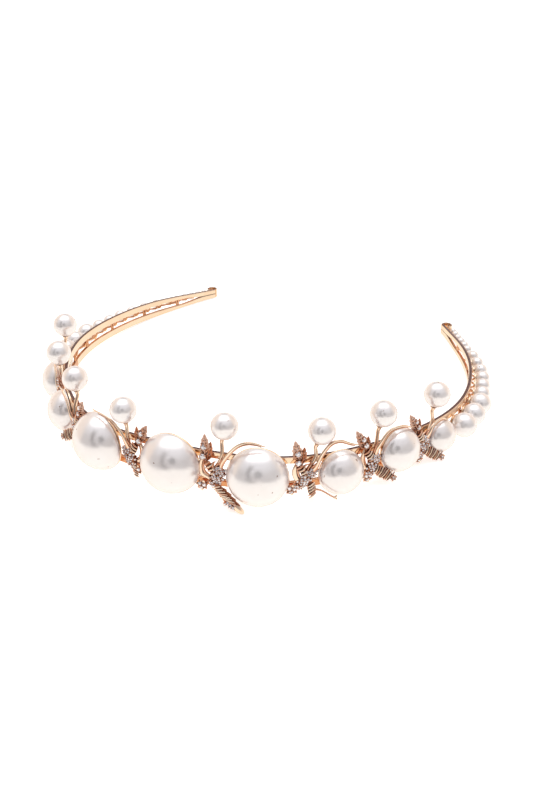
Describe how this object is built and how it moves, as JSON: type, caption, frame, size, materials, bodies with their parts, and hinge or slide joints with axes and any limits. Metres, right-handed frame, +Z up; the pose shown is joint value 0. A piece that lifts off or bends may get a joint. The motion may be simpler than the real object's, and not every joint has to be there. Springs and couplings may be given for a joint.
{
  "type": "bridal tiara",
  "caption": "Horseshoe headband of two gilt rails with half-round pearls outside, jewelled leaf sprigs and pearls on stalks.",
  "frame": {"origin": "under the middle of the object's box, on the surface that it stands on", "axes": "+Z up, the front faces -Y and the open back faces +Y, +X to the wearer's left"},
  "size_m": [0.1564, 0.1378, 0.0278],
  "materials": {
    "gilt_band": "polished rose gold plate",
    "gilt_casting": "bright rose gold plate",
    "pearl": "pearlescent white",
    "crystal": "clear faceted"
  },
  "bodies": {
    "root": {"upper_rail": "gilt_band", "lower_rail": "gilt_band", "front_pearl_1": "pearl", "front_cup_1": "gilt_band", "front_pearl_2": "pearl", "front_cup_2": "gilt_band", "front_pearl_3": "pearl", "front_cup_3": "gilt_band", "front_pearl_4": "pearl", "front_cup_4": "gilt_band", "front_pearl_5": "pearl", "front_cup_5": "gilt_band", "front_pearl_6": "pearl", "front_cup_6": "gilt_band", "front_pearl_7": "pearl", "front_cup_7": "gilt_band", "front_pearl_8": "pearl", "front_cup_8": "gilt_band", "front_pearl_9": "pearl", "front_cup_9": "gilt_band", "sprig_1": "gilt_casting", "stalk_pearl_1": "pearl", "sprig_2": "gilt_casting", "stalk_pearl_2": "pearl", "sprig_3": "gilt_casting", "stalk_pearl_3": "pearl", "sprig_4": "gilt_casting", "stalk_pearl_4": "pearl", "sprig_5": "gilt_casting", "stalk_pearl_5": "pearl", "sprig_6": "gilt_casting", "stalk_pearl_6": "pearl", "sprig_7": "gilt_casting", "stalk_pearl_7": "pearl", "sprig_8": "gilt_casting", "stalk_pearl_8": "pearl", "left_row_pearl_1": "pearl", "left_row_pearl_2": "pearl", "left_row_pearl_3": "pearl", "left_row_pearl_4": "pearl", "left_row_pearl_5": "pearl", "left_row_pearl_6": "pearl", "left_row_pearl_7": "pearl", "left_row_pearl_8": "pearl", "left_row_pearl_9": "pearl", "left_seed_pearls": "pearl", "left_gallery": "gilt_band", "left_end_loop": "gilt_band", "right_row_pearl_1": "pearl", "right_row_pearl_2": "pearl", "right_row_pearl_3": "pearl", "right_row_pearl_4": "pearl", "right_row_pearl_5": "pearl", "right_row_pearl_6": "pearl", "right_row_pearl_7": "pearl", "right_row_pearl_8": "pearl", "right_row_pearl_9": "pearl", "right_seed_pearls": "pearl", "right_gallery": "gilt_band", "right_end_loop": "gilt_band"}
  },
  "joints": []
}
